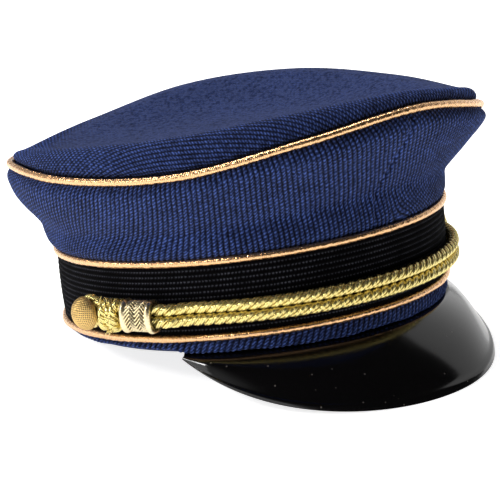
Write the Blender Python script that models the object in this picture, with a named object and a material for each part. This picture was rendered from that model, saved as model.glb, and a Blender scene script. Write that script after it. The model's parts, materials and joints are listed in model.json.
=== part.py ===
"""Peaked cap for a doll, a sixth of full size.

The cap is drawn upright: +Z up, the peak towards -Y, the wearer's left towards +X, and the
hem's lower edge at z = 0. At the end it leans back on its hem and its peak, as it lies on a
table, and its box stands centred on the origin. Angles are in degrees round the cap, from
the middle of the front towards the wearer's right.
"""

import math
from collections import namedtuple

import bmesh
import bpy
import numpy as np
from mathutils import Vector

MM = 0.001

# The head opening, band and hem
BAND_WIDE = 32.6 * MM
BAND_LONG = 34.0 * MM
BAND_FLARE = 0.2 * MM          # how much further out the top of the band is than its foot
BAND_BULGE = 0.1 * MM
BAND_SET_FORWARD = 0.2 * MM    # how far the top of the band is shifted to the front
HEM_FRONT = 1.7 * MM           # from the lower edge to the middle of the piping
HEM_REAR = 0.65 * MM
BAND_FRONT = 6.6 * MM          # from piping to piping
BAND_REAR = 6.1 * MM
WALL = 1.0 * MM                # cloth and its backing

# The crown
CROWN_WIDE = 39.5 * MM
CROWN_LONG = 41.9 * MM
CROWN_SET_FORWARD = 0.8 * MM
SIDE_TALL = 10.4 * MM          # the side wall where it is tallest, from piping to piping
ROLL_TALL = 3.0 * MM           # the rolled rim above its piping, where it is tallest
ROLL_WIDE = 1.6 * MM           # from the piping in to the top of the roll
ROLL_FULL = 0.75               # 1 is an even curve, and less is a fuller roll
DISH_DEEP = 2.6 * MM           # from the rim down to the middle of the top
DISH_SLOPE = 1.2 * MM          # how much the middle rises to the front and falls to the rear

# Seams and pipings
PIPING_RADIUS = 0.36 * MM
REBATE = 0.5 * MM              # how deep the piping's seat is cut into the walls
GAP = 0.1 * MM                 # between pieces that touch

# The peak
PEAK_HALF_ANGLE = 65.8
PEAK_REACH = 5.36 * MM
PEAK_DROP = 5.52 * MM
PEAK_END = 0.3 * MM            # what is left of reach and drop at the peak's two ends
PEAK_FAN = 0.5                 # how far the peak spreads out past straight forward
PEAK_REACH_ROUND = 1.17        # over 1, the outline runs in to its ends in a slight hollow
PEAK_DROP_ROUND = 0.9
PEAK_FLAT = 1.08               # over 1, the lowest stretch of the edge lies flatter
PEAK_THICK = 0.8 * MM
PEAK_CROWNING = 0.45 * MM
BEAD_TALL = 0.14 * MM
FLANGE_TALL = 1.2 * MM         # the peak's seam allowance inside the hem
FLANGE_THICK = 0.5 * MM

# The chin cord and its metal
CORD_RADIUS = 0.4 * MM
CORD_SPACING = 1.04 * MM       # between the two strands' middles
CORD_FRONT = 2.15 * MM         # from the lower piping up to the cord's middle line
CORD_REAR = 2.7 * MM
CORD_SLACK = 0.15 * MM         # how far the strands bow out from the band at the front
SLIDER_ANGLE = 75.4
SLIDER_LONG = 3.0 * MM
SLIDER_TALL = 2.6 * MM
SLIDER_DEEP = 2.0 * MM
SLIDER_RIM = 0.12 * MM
BORE_CLEARANCE = 0.15 * MM
KNOT_ANGLE = 84.8
KNOT_LONG = 2.0 * MM
KNOT_TALL = 2.9 * MM
KNOT_DEEP = 2.1 * MM
BUTTON_ANGLE = 93.4
BUTTON_WIDE = 2.9 * MM
BUTTON_DEEP = 1.3 * MM
SHANK_RADIUS = 0.4 * MM

COLUMNS = 60
PEAK_COLUMNS = 31
OVAL_SIDES = 12

# A row for every 30 degrees round the rim, from the middle of the front over the wearer's
# right: the side wall's height as a share of SIDE_TALL and the roll's as a share of ROLL_TALL.
# The wire in the rim isn't quite true, so the two sides differ a little.
RimSection = namedtuple("RimSection", "wall roll")
RIM_SECTIONS = (
    RimSection(wall=1.00, roll=0.42),
    RimSection(wall=0.92, roll=0.74),
    RimSection(wall=0.77, roll=1.00),
    RimSection(wall=0.755, roll=0.83),
    RimSection(wall=0.78, roll=0.40),
    RimSection(wall=0.70, roll=0.25),
    RimSection(wall=0.675, roll=0.52),
    RimSection(wall=0.745, roll=0.74),
    RimSection(wall=0.78, roll=0.66),
    RimSection(wall=0.70, roll=0.63),
    RimSection(wall=0.67, roll=0.57),
    RimSection(wall=0.84, roll=0.45),
)

# The side wall from band to rim: the height as a share of the wall there, and how far the
# wall has leant out, as a share of the way from band to rim, at the front and at the rear.
SideSection = namedtuple("SideSection", "height front rear")
SIDE_SECTIONS = (
    SideSection(height=0.09, front=0.03, rear=0.20),
    SideSection(height=0.20, front=0.03, rear=0.31),
    SideSection(height=0.32, front=0.05, rear=0.40),
    SideSection(height=0.42, front=0.23, rear=0.58),
    SideSection(height=0.52, front=0.43, rear=0.79),
    SideSection(height=0.64, front=0.66, rear=0.99),
    SideSection(height=0.76, front=0.91, rear=1.08),
    SideSection(height=0.87, front=1.08, rear=1.12),
)

# The dished top from the roll to the middle: the distance from the middle as a share of the
# way to the roll, and how much of the roll's height is left there.
DishSection = namedtuple("DishSection", "out height")
DISH_SECTIONS = (
    DishSection(out=0.955, height=0.96),
    DishSection(out=0.90, height=0.78),
    DishSection(out=0.82, height=0.50),
    DishSection(out=0.70, height=0.22),
    DishSection(out=0.50, height=0.06),
    DishSection(out=0.22, height=0.0),
)

# Across the peak from the hem to its edge: the share of the way, the crowning there as a
# share of PEAK_CROWNING and the raised bead as a share of BEAD_TALL.
PeakRow = namedtuple("PeakRow", "way crowning bead")
PEAK_ROWS = (
    PeakRow(way=0.22, crowning=0.64, bead=0.0),
    PeakRow(way=0.48, crowning=1.00, bead=0.0),
    PeakRow(way=0.74, crowning=0.73, bead=0.0),
    PeakRow(way=0.88, crowning=0.37, bead=0.0),
    PeakRow(way=0.94, crowning=0.19, bead=1.0),
)

Station = namedtuple("Station", "angle foot top rim normal lean foot_z top_z rim_z roll_z")


def clear_scene():
    for obj in list(bpy.data.objects):
        bpy.data.objects.remove(obj, do_unlink=True)


def finish(name, colour, roughness, metallic=0.0):
    """A plain Principled material with the colour and gloss of the real surface."""
    material = bpy.data.materials.new(name)
    material.use_nodes = True
    shader = material.node_tree.nodes["Principled BSDF"]
    shader.inputs["Base Color"].default_value = (*colour, 1.0)
    shader.inputs["Roughness"].default_value = roughness
    shader.inputs["Metallic"].default_value = metallic
    material.diffuse_color = (*colour, 1.0)
    return material


def around(values, angle):
    """A smooth curve through values that are evenly spaced round the cap."""
    place = (angle % 360.0) / 360.0 * len(values)
    whole = int(place)
    part = place - whole
    before, start, end, after = (values[(whole + k) % len(values)] for k in (-1, 0, 1, 2))
    slope_in, slope_out = (end - before) / 2, (after - start) / 2
    return (
        start * (2 * part**3 - 3 * part**2 + 1)
        + slope_in * (part**3 - 2 * part**2 + part)
        + end * (3 * part**2 - 2 * part**3)
        + slope_out * (part**3 - part**2)
    )


def between(front, rear, angle):
    """A value that goes from front to rear as a cosine round the cap."""
    return (front + rear) / 2 + (front - rear) / 2 * math.cos(math.radians(angle))


def oval(wide, long, forward, angle):
    turn = math.radians(angle)
    return Vector((-wide / 2 * math.sin(turn), -forward - long / 2 * math.cos(turn), 0))


def outward(wide, long, angle):
    """The level direction square to an oval's outline."""
    turn = math.radians(angle)
    return Vector((-math.sin(turn) / wide, -math.cos(turn) / long, 0)).normalized()


def station(angle):
    """The cap's outline at one angle: band foot, band top and rim, and their heights."""
    foot = oval(BAND_WIDE, BAND_LONG, 0, angle)
    top = oval(BAND_WIDE + 2 * BAND_FLARE, BAND_LONG + 2 * BAND_FLARE, BAND_SET_FORWARD, angle)
    rim = oval(CROWN_WIDE, CROWN_LONG, CROWN_SET_FORWARD, angle)
    foot_z = between(HEM_FRONT, HEM_REAR, angle)
    top_z = foot_z + between(BAND_FRONT, BAND_REAR, angle)
    rim_z = top_z + SIDE_TALL * around([row.wall for row in RIM_SECTIONS], angle)
    roll_z = rim_z + ROLL_TALL * around([row.roll for row in RIM_SECTIONS], angle)
    normal = outward(BAND_WIDE, BAND_LONG, angle)
    lean = (rim - top).normalized()
    return Station(angle, foot, top, rim, normal, lean, foot_z, top_z, rim_z, roll_z)


STATIONS = [station(360.0 * k / COLUMNS) for k in range(COLUMNS)]


def at(base, direction, out, height):
    place = base + direction * out
    return Vector((place.x, place.y, height))


def place_object(name, data, material):
    data.materials.append(material)
    obj = bpy.data.objects.new(name, data)
    bpy.context.collection.objects.link(obj)
    obj.parent = CAP
    return obj


def loft(name, rings, material, loop):
    """One closed body through rings of as many points each. With loop, the last ring joins
    the first; without it, the first and last rings are capped."""
    shape = bmesh.new()
    rows = [[shape.verts.new(point) for point in ring] for ring in rings]
    pairs = list(zip(rows, rows[1:]))
    if loop:
        pairs.append((rows[-1], rows[0]))
    else:
        shape.faces.new(rows[0])
        shape.faces.new(rows[-1])
    for one, other in pairs:
        for k in range(len(one)):
            after = (k + 1) % len(one)
            shape.faces.new((one[k], one[after], other[after], other[k]))
    bmesh.ops.recalc_face_normals(shape, faces=shape.faces)
    mesh = bpy.data.meshes.new(name)
    shape.to_mesh(mesh)
    shape.free()
    mesh.shade_smooth()
    mesh.set_sharp_from_angle(angle=math.radians(35))
    return place_object(name, mesh, material)


def tube(name, points, radius, material):
    """A closed loop of round cord or piping."""
    curve = bpy.data.curves.new(name, "CURVE")
    curve.dimensions = "3D"
    curve.bevel_depth = radius
    curve.bevel_resolution = 1
    spline = curve.splines.new("POLY")
    spline.points.add(len(points) - 1)
    spline.points.foreach_set("co", np.array([(*p, 1.0) for p in points]).ravel())
    spline.use_cyclic_u = True
    return place_object(name, curve, material)


def wall_rings(section):
    """Rings round the cap from a section: a function that lists a station's points."""
    sections = [section(spot) for spot in STATIONS]
    return [list(ring) for ring in zip(*sections)]


SEAT = PIPING_RADIUS + GAP     # from a piping's middle to the wall above or below it


def hem_section(spot):
    inner, outer = -WALL, 0.0
    points = (
        (inner, 0.0),
        (outer - 0.15 * WALL, 0.0),
        (outer, 0.12 * WALL),
        (outer, spot.foot_z - SEAT),
        (-REBATE, spot.foot_z - SEAT),
        (-REBATE, spot.foot_z - GAP / 2),
        (inner, spot.foot_z - GAP / 2),
    )
    return [at(spot.foot, spot.normal, out, z) for out, z in points]


def band_section(spot):
    low, high = spot.foot_z + GAP / 2, spot.top_z - GAP / 2
    points = (
        (0.0, -WALL, low),
        (0.0, -REBATE, low),
        (0.0, -REBATE, spot.foot_z + SEAT),
        (0.0, 0.0, spot.foot_z + SEAT),
        (0.5, BAND_BULGE, (low + high) / 2),
        (1.0, 0.0, spot.top_z - SEAT),
        (1.0, -REBATE, spot.top_z - SEAT),
        (1.0, -REBATE, high),
        (1.0, -WALL, high),
    )
    return [at(spot.foot.lerp(spot.top, up), spot.normal, out, z) for up, out, z in points]


def side_section(spot):
    """Outside from band to rim, then back down inside, one wall's thickness in."""
    overhang = (spot.rim - spot.top).length
    low, high = spot.top_z + GAP / 2, spot.rim_z - GAP / 2
    share = between(1.0, 0.0, spot.angle)
    outside = []
    for row in SIDE_SECTIONS:
        leant = row.front * share + row.rear * (1 - share)
        outside.append((leant * overhang, spot.top_z + row.height * (spot.rim_z - spot.top_z)))
    edge = [(-REBATE, low), (-REBATE, spot.top_z + SEAT * 0.8), (0.0, spot.top_z + SEAT)]
    seam = [(overhang, spot.rim_z - SEAT), (overhang - REBATE, spot.rim_z - SEAT * 0.8)]
    seam += [(overhang - REBATE, high), (overhang - REBATE - WALL * 0.9, high)]
    inside = [(out - WALL * 1.25, z) for out, z in outside[-2::-2]]
    inside.append((-WALL, low))
    points = edge + outside + seam + inside
    return [at(spot.top, spot.lean, out, z) for out, z in points]


def roll_points(spot):
    """The outer quarter of the rolled rim, from its seam up to its top."""
    foot = spot.rim_z + SEAT
    tall = spot.roll_z - foot
    wide = ROLL_WIDE * 0.85
    points = [(-REBATE, spot.rim_z + GAP / 2), (-REBATE, spot.rim_z + SEAT * 0.8)]
    for turn in (0, 20, 45, 70, 90):
        angle = math.radians(turn)
        across = max(0.0, math.cos(angle)) ** ROLL_FULL
        points.append((-ROLL_WIDE + wide * across, foot + tall * math.sin(angle) ** ROLL_FULL))
    return [at(spot.rim, spot.lean, out, z) for out, z in points]


def top_rings():
    """The top from its seam over the roll into the dish, and back underneath."""
    rolls = [roll_points(spot) for spot in STATIONS]
    middle = Vector((0, -CROWN_SET_FORWARD, 0))
    mean = sum(spot.roll_z for spot in STATIONS) / COLUMNS - DISH_DEEP

    def dish(row, drop):
        ring = []
        for spot, points in zip(STATIONS, rolls):
            ridge = points[-1]
            front = math.cos(math.radians(spot.angle))
            floor = mean + DISH_SLOPE * row.out * front
            floor_at_rim = mean + DISH_SLOPE * front
            place = middle.lerp(Vector((ridge.x, ridge.y, 0)), row.out)
            height = floor + (ridge.z - floor_at_rim) * row.height
            ring.append(Vector((place.x, place.y, height - drop)))
        return ring

    outside = [list(ring) for ring in zip(*rolls)] + [dish(row, 0) for row in DISH_SECTIONS]
    underside = [dish(row, WALL) for row in DISH_SECTIONS[::-1][0:-1:2]]
    edge = [
        at(spot.rim, spot.lean, -REBATE - WALL * 0.9, spot.rim_z + GAP / 2)
        for spot in STATIONS
    ]
    return outside, underside, edge


def make_top(material):
    outside, underside, edge = top_rings()
    return loft("crown_top", outside[::-1] + [edge] + underside[::-1], material, loop=False)


def read_peak(place):
    """The shares of reach and drop between the peak's middle, 0, and its end, 1."""
    quarter = math.pi / 2
    reach = max(0.0, math.cos(quarter * place)) ** PEAK_REACH_ROUND
    drop = max(0.0, math.cos(quarter * place**PEAK_FLAT)) ** PEAK_DROP_ROUND
    return reach, drop


def peak_section(angle):
    reach_share, drop_share = read_peak(abs(angle) / PEAK_HALF_ANGLE)
    reach = PEAK_END + (PEAK_REACH - PEAK_END) * reach_share
    drop = PEAK_END + (PEAK_DROP - PEAK_END) * drop_share
    full = min(1.0, drop / (2 * PEAK_THICK))
    slope = Vector((reach, -drop)).normalized()
    square = Vector((-slope.y, slope.x))
    root = Vector((-0.05 * WALL, -GAP))

    top = [Vector((-WALL - GAP, FLANGE_TALL)), Vector((-WALL - GAP, -GAP)), root]
    under = []
    for row in PEAK_ROWS:
        rise = full * (PEAK_CROWNING * row.crowning + BEAD_TALL * row.bead)
        line = root.lerp(Vector((reach, -drop)), row.way)
        top.append(line + square * rise)
        if not row.bead:
            under.append(line + square * (rise - PEAK_THICK * full))
    top.append(Vector((reach, -drop)))
    top.append(Vector((reach - PEAK_THICK * full, -drop + 0.2 * PEAK_THICK * full)))
    inner = -WALL - GAP - FLANGE_THICK
    under = under[::-1] + [Vector((inner, -GAP - FLANGE_THICK)), Vector((inner, FLANGE_TALL))]

    foot = oval(BAND_WIDE, BAND_LONG, 0, angle)
    square_out = outward(BAND_WIDE, BAND_LONG, angle)
    fan = (square_out * (1 + PEAK_FAN) - Vector((0, -1, 0)) * PEAK_FAN).normalized()
    points = []
    for point in top + under:
        direction = fan if point.x > 0 else square_out
        points.append(at(foot, direction, point.x, point.y))
    return points


def on_band(angle, out, height):
    """A point in front of the band: out from its face, and above the cord's middle line."""
    spot = station(angle)
    raised = between(CORD_FRONT, CORD_REAR, angle) + height
    up = raised / (spot.top_z - spot.foot_z)
    return at(spot.foot.lerp(spot.top, up), spot.normal, out, spot.foot_z + raised)


def band_step(length):
    """The angle that a length along the band takes, beside the ears."""
    return math.degrees(length / (BAND_LONG / 2))


CORD_OUT = BAND_BULGE + GAP + CORD_RADIUS
METAL_OUT = BAND_BULGE + GAP + max(SLIDER_DEEP / 2 + SLIDER_RIM, KNOT_DEEP / 2)
TURN_RADIUS = SHANK_RADIUS + 1.5 * GAP + CORD_RADIUS
TURN_OUT = METAL_OUT - 0.6 * CORD_RADIUS
DOME_OUT = METAL_OUT + CORD_RADIUS


def ease(share):
    share = min(1.0, max(0.0, share))
    return share * share * (3 - 2 * share)


def slack_out(angle):
    """How far the strands' middle is from the band: they bow out a little at the front."""
    return CORD_OUT + CORD_SLACK * ease(1.4 * (1 - angle / SLIDER_ANGLE))


def cord_half(side):
    """The cord's loop from the middle of the front round one button and back."""
    metal_start = SLIDER_ANGLE - band_step(SLIDER_LONG / 2 + 2 * CORD_RADIUS)
    knot_end = KNOT_ANGLE + band_step(KNOT_LONG / 2)
    lead = band_step(4 * CORD_RADIUS)
    upper = []
    steps = 20
    for k in range(1, steps + 1):
        angle = metal_start * k / steps
        rise = ease((angle - metal_start + lead) / lead)
        out = slack_out(angle)
        upper.append((angle, out + (METAL_OUT - out) * rise, CORD_SPACING / 2))
    for angle in (SLIDER_ANGLE - 3, SLIDER_ANGLE, SLIDER_ANGLE + 4, KNOT_ANGLE):
        upper.append((angle, METAL_OUT, CORD_SPACING / 2))
    upper.append((knot_end, METAL_OUT - BORE_CLEARANCE / 2, CORD_SPACING / 2))
    turn = []
    for degrees in (110, 70, 35, 0):
        swing = math.radians(degrees)
        angle = BUTTON_ANGLE + band_step(TURN_RADIUS * math.cos(swing))
        turn.append((angle, TURN_OUT, TURN_RADIUS * math.sin(swing)))
    way = upper + turn
    back = [(angle, out, -height) for angle, out, height in way[-2::-1]]
    return [on_band(side * angle, out, height) for angle, out, height in way + back]


def cord_points():
    """The whole loop: upper strand, round one button, lower strand, round the other."""
    right, left = cord_half(1), cord_half(-1)
    middle = [on_band(0, slack_out(0), side * CORD_SPACING / 2) for side in (-1, 1)]
    return right + middle[:1] + left[::-1] + middle[1:]


def barrel(name, angle, rows, material):
    """A sleeve round both strands. A row is a ring: its place along the band, and half its
    depth and height."""
    spot = station(angle)
    middle = on_band(angle, METAL_OUT, 0)
    up = Vector((0, 0, 1))
    along = up.cross(spot.normal).normalized()
    rings = []
    for place, half_deep, half_tall in rows:
        ring = []
        for k in range(OVAL_SIDES):
            turn = math.tau * k / OVAL_SIDES
            ring.append(
                middle
                + along * place
                + spot.normal * (half_deep * math.cos(turn))
                + up * (half_tall * math.sin(turn))
            )
        rings.append(ring)
    return loft(name, rings, material, loop=True)


BORE_DEEP = CORD_RADIUS + BORE_CLEARANCE + 0.07 * MM
BORE_TALL = CORD_SPACING / 2 + CORD_RADIUS + BORE_CLEARANCE


def slider_rows():
    half, deep, tall = SLIDER_LONG / 2, SLIDER_DEEP / 2, SLIDER_TALL / 2
    rim = 3 * SLIDER_RIM
    outside = [(-half, deep, tall), (-half + rim / 2, deep + SLIDER_RIM, tall + SLIDER_RIM)]
    outside.append((-half + rim, deep, tall))
    outside += [(-place, wide, high) for place, wide, high in outside[::-1]]
    return outside + [(half, BORE_DEEP, BORE_TALL), (-half, BORE_DEEP, BORE_TALL)]


def knot_rows():
    half, deep, tall = KNOT_LONG / 2, KNOT_DEEP / 2, KNOT_TALL / 2
    outside = [(-half, 0.8 * deep, 0.86 * tall), (-half / 2, 0.97 * deep, 0.98 * tall)]
    outside += [(half / 2, deep, tall), (half, 0.8 * deep, 0.86 * tall)]
    return outside + [(half, BORE_DEEP, BORE_TALL), (-half, BORE_DEEP, BORE_TALL)]


def make_button(name, angle, material):
    """A dome on a shank, turned round the line square to the band."""
    spot = station(angle)
    radius = BUTTON_WIDE / 2
    rows = [(BAND_BULGE + GAP, SHANK_RADIUS), (DOME_OUT, SHANK_RADIUS), (DOME_OUT, 0.86 * radius)]
    for turn in (0, 30, 55, 78):
        swing = math.radians(turn)
        height = DOME_OUT + BUTTON_DEEP * (0.18 + 0.82 * math.sin(swing))
        rows.append((height, radius * math.cos(swing)))
    middle = on_band(angle, 0, 0)
    up = Vector((0, 0, 1))
    along = up.cross(spot.normal)
    rings = []
    for out, wide in rows:
        ring = []
        for k in range(OVAL_SIDES):
            turn = math.tau * k / OVAL_SIDES
            ring.append(
                middle + spot.normal * out + (along * math.cos(turn) + up * math.sin(turn)) * wide
            )
        rings.append(ring)
    return loft(name, rings, material, loop=False)


def lowest_and_middle(objects):
    """The lowest height of all the pieces, and the middle of their box along Y."""
    graph = bpy.context.evaluated_depsgraph_get()
    points = []
    for obj in objects:
        shown = obj.evaluated_get(graph)
        mesh = shown.to_mesh()
        points += [shown.matrix_world @ vertex.co for vertex in mesh.vertices]
        shown.to_mesh_clear()
    lengths = [point.y for point in points]
    return min(point.z for point in points), (min(lengths) + max(lengths)) / 2


def lean_back(objects, peak):
    """Turns the cap until the peak's edge is level with the rear of the hem, and stands it
    on the ground with its box centred."""
    heel = BAND_LONG / 2 - 0.15 * WALL
    lean = max(math.atan2(-v.co.z, heel - v.co.y) for v in peak.data.vertices)
    CAP.rotation_euler.x = -lean
    bpy.context.view_layer.update()
    low, middle = lowest_and_middle(objects)
    CAP.location = (0, -middle, -low)
    bpy.context.view_layer.update()


clear_scene()
CAP = bpy.data.objects.new("cap", None)
bpy.context.collection.objects.link(CAP)

twill = finish("blue_twill", (0.018, 0.035, 0.115), 0.85)
braid = finish("black_braid", (0.006, 0.006, 0.008), 0.8)
gold_piping = finish("gold_piping", (0.72, 0.42, 0.17), 0.4, 0.8)
gold_cord = finish("gold_cord", (0.70, 0.50, 0.13), 0.4, 0.8)
gilt = finish("gilt", (0.75, 0.62, 0.30), 0.3, 1.0)
lacquer = finish("black_lacquer", (0.006, 0.006, 0.007), 0.12)

hem = loft("hem", wall_rings(hem_section), twill, loop=True)
band = loft("band", wall_rings(band_section), braid, loop=True)
side = loft("crown_side", wall_rings(side_section), twill, loop=True)
top = make_top(twill)

seams = (
    ("band_lower_piping", [at(s.foot, s.normal, 0, s.foot_z) for s in STATIONS]),
    ("band_upper_piping", [at(s.top, s.normal, 0, s.top_z) for s in STATIONS]),
    ("crown_piping", [at(s.rim, s.lean, 0, s.rim_z) for s in STATIONS]),
)
pieces = [hem, band, side, top]
pieces += [tube(name, points, PIPING_RADIUS, gold_piping) for name, points in seams]

peak_angles = np.linspace(-PEAK_HALF_ANGLE, PEAK_HALF_ANGLE, PEAK_COLUMNS)
peak = loft("peak", [peak_section(angle) for angle in peak_angles], lacquer, loop=False)
pieces.append(peak)

pieces.append(tube("chin_cord", cord_points(), CORD_RADIUS, gold_cord))
for hand, sign in (("right", 1), ("left", -1)):
    pieces.append(barrel(f"slider_{hand}", sign * SLIDER_ANGLE, slider_rows(), gilt))
    pieces.append(barrel(f"cord_knot_{hand}", sign * KNOT_ANGLE, knot_rows(), gold_cord))
    pieces.append(make_button(f"button_{hand}", sign * BUTTON_ANGLE, gilt))

lean_back(pieces, peak)
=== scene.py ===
# %% [markdown]
# # A doll's peaked cap
#
# The cap has a twill crown with a wired rim, a ribbed black braid band, three gold
# The cap has a twill crown with a wired rim, a ribbed black braid band, three gold
# pipings, a lacquered peak and a gold chin cord. The solid model already gives every piece
# its place and size. This lesson dresses it: each soft piece is drawn again with its
# ribs, plies or threads, in the same place, and each surface gets its own finish.

# %% Load the solid model
import json
import math
from collections import namedtuple

import bpy
import numpy as np
from mathutils import Matrix, Vector


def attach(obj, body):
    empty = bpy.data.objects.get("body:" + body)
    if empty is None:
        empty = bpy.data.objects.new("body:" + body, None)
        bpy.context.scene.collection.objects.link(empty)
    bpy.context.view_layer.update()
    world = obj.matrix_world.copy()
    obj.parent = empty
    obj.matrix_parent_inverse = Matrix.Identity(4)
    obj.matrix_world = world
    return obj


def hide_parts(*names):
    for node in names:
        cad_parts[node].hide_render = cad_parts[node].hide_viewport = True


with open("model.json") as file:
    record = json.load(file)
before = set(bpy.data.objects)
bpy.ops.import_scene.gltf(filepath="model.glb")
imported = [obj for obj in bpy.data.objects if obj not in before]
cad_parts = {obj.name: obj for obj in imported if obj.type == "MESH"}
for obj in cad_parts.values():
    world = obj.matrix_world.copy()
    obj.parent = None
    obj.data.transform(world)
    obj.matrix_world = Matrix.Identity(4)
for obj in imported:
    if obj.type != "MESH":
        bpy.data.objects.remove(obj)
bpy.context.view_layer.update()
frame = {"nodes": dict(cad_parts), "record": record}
print("nodes:", ", ".join(sorted(frame["nodes"])))

# %% [markdown]
# ## The cap's own frame
#
# The cap is easiest to describe upright, in millimetres, with its hem at height 0: the peak
# towards -Y, angles in degrees from the middle of the front towards the wearer's right.
# On the table it leans back a little. The mount on the hem's lower edge says by how much:
# its axis is the direction straight down out of the hem.

# %% From the cap's frame to the world
MM = 0.001
TAU = math.tau
BAND_WIDE, BAND_LONG = 32.6, 34.0
WALL = 1.0                          # the cloth with its backing
MOUNT_IN = 0.575                    # how far the mount lies in from the hem's face, in walls

rim_mount = frame["record"]["mounts"][0]
LEAN = math.atan2(-rim_mount["axis"][1], -rim_mount["axis"][2])
TURN = np.array(
    [
        [1, 0, 0],
        [0, math.cos(LEAN), math.sin(LEAN)],
        [0, -math.sin(LEAN), math.cos(LEAN)],
    ]
)
MOUNT_POINT = np.array([0, BAND_LONG / 2 - MOUNT_IN * WALL, 0])
PLACE = np.array(rim_mount["pos_m"]) / MM - TURN @ MOUNT_POINT


def in_world(points):
    """Points of the upright cap, in millimetres, as world points in metres."""
    return (points @ TURN.T + PLACE) * MM


def toward(azimuth, height):
    """The direction at an azimuth from the front and a height above the table, in degrees."""
    azimuth, height = math.radians(azimuth), math.radians(height)
    level = math.cos(height)
    return Vector((math.sin(azimuth) * level, -math.cos(azimuth) * level, math.sin(height)))


def placed(name, data):
    """A new object in the scene."""
    thing = bpy.data.objects.new(name, data)
    bpy.context.scene.collection.objects.link(thing)
    return thing


print(f"the cap leans back {math.degrees(LEAN):.2f} degrees")

# %% [markdown]
# ## The camera
#
# A long lens from a little above, off the cap's right-hand front. The roll is the small
# tilt of a hand-held camera.

# %% The camera
CAMERA_AZIMUTH, CAMERA_HEIGHT, CAMERA_ROLL = -43.183, 18.695, -0.780
CAMERA_AWAY, CAMERA_ASIDE, CAMERA_UP = 311.652, -0.612, 4.665
LENS, SENSOR = 258.02, 36.0


def make_camera():
    back = toward(CAMERA_AZIMUTH, CAMERA_HEIGHT)
    level = (-back).cross(Vector((0, 0, 1))).normalized()
    upright = level.cross(-back)
    roll = math.radians(CAMERA_ROLL)
    right = level * math.cos(roll) + upright * math.sin(roll)
    up = upright * math.cos(roll) - level * math.sin(roll)
    place = Vector(PLACE) + back * CAMERA_AWAY + right * CAMERA_ASIDE + up * CAMERA_UP
    data = bpy.data.cameras.new("camera")
    data.lens, data.sensor_width = LENS, SENSOR
    data.clip_start, data.clip_end = 0.01, 20
    camera = placed("camera", data)
    turn = Matrix((right, up, back)).transposed()
    camera.matrix_world = Matrix.Translation(place * MM) @ turn.to_4x4()
    bpy.context.scene.camera = camera
    return place


camera_place = make_camera()
print("camera at", [round(x, 1) for x in camera_place], "mm")

# %% [markdown]
# ## The cap's outline
#
# The same named sizes as the solids have. Every ring of the cap is an oval, and the walls
# between them follow short tables. The functions take whole arrays of angles, because a
# fine cloth mesh asks for tens of thousands of points at once.

# %% Sizes of the walls
BAND_FLARE, BAND_BULGE, BAND_SET_FORWARD = 0.2, 0.1, 0.2
HEM_FRONT, HEM_REAR = 1.7, 0.65
BAND_FRONT, BAND_REAR = 6.6, 6.1
CROWN_WIDE, CROWN_LONG, CROWN_SET_FORWARD = 39.5, 41.9, 0.8
SIDE_TALL = 10.4
ROLL_TALL, ROLL_WIDE, ROLL_FULL = 3.0, 1.6, 0.75
DISH_DEEP, DISH_SLOPE = 2.6, 1.2
GAP, REBATE = 0.1, 0.5

# The side wall's and the roll's heights every 30 degrees, as shares of the tallest.
WALL_SHARES = (1.00, 0.92, 0.77, 0.755, 0.78, 0.70, 0.675, 0.745, 0.78, 0.70, 0.67, 0.84)
ROLL_SHARES = (0.42, 0.74, 1.00, 0.83, 0.40, 0.25, 0.52, 0.74, 0.66, 0.63, 0.57, 0.45)

# %% Curves through the tables


def hermite(start, slope_in, end, slope_out, part):
    return (
        start * (2 * part**3 - 3 * part**2 + 1)
        + slope_in * (part**3 - 2 * part**2 + part)
        + end * (3 * part**2 - 2 * part**3)
        + slope_out * (part**3 - part**2)
    )


def once_round(count, whole=360.0):
    """Evenly spaced places once round, in degrees or as parts of another whole."""
    return np.arange(count) / count * whole


def around(values, angle):
    """A smooth curve through values that are evenly spaced round the cap."""
    values = np.asarray(values)
    place = (np.asarray(angle) % 360.0) / 360.0 * len(values)
    whole = np.floor(place).astype(int)
    before, start, end, after = (values[(whole + k) % len(values)] for k in (-1, 0, 1, 2))
    return hermite(start, (end - before) / 2, end, (after - start) / 2, place - whole)


def through(knots, values, place):
    """A smooth curve through values at uneven knots."""
    knots, values = np.asarray(knots, float), np.asarray(values, float)
    slopes = np.gradient(values, knots)
    k = np.clip(np.searchsorted(knots, place, side="right") - 1, 0, len(knots) - 2)
    step = knots[k + 1] - knots[k]
    return hermite(
        values[k],
        slopes[k] * step,
        values[k + 1],
        slopes[k + 1] * step,
        (place - knots[k]) / step,
    )


def between(front, rear, angle):
    return (front + rear) / 2 + (front - rear) / 2 * np.cos(np.radians(angle))


def ease(share):
    share = np.clip(share, 0.0, 1.0)
    return share * share * (3 - 2 * share)


def hump(place, middle, reach):
    """1 at the middle, falling smoothly to nothing about two reaches away."""
    return np.exp(-(((place - middle) / reach) ** 2))


# %% The outline at each angle
Station = namedtuple("Station", "angle foot top rim normal lean foot_z top_z rim_z roll_z")


def unit(vectors):
    return vectors / np.linalg.norm(vectors, axis=-1, keepdims=True)


def oval(wide, long, forward, angle):
    turn = np.radians(angle)
    x, y = -wide / 2 * np.sin(turn), -forward - long / 2 * np.cos(turn)
    return np.stack([x, y, np.zeros_like(x)], -1)


def outward(wide, long, angle):
    turn = np.radians(angle)
    x, y = -np.sin(turn) / wide, -np.cos(turn) / long
    return unit(np.stack([x, y, np.zeros_like(x)], -1))


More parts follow.
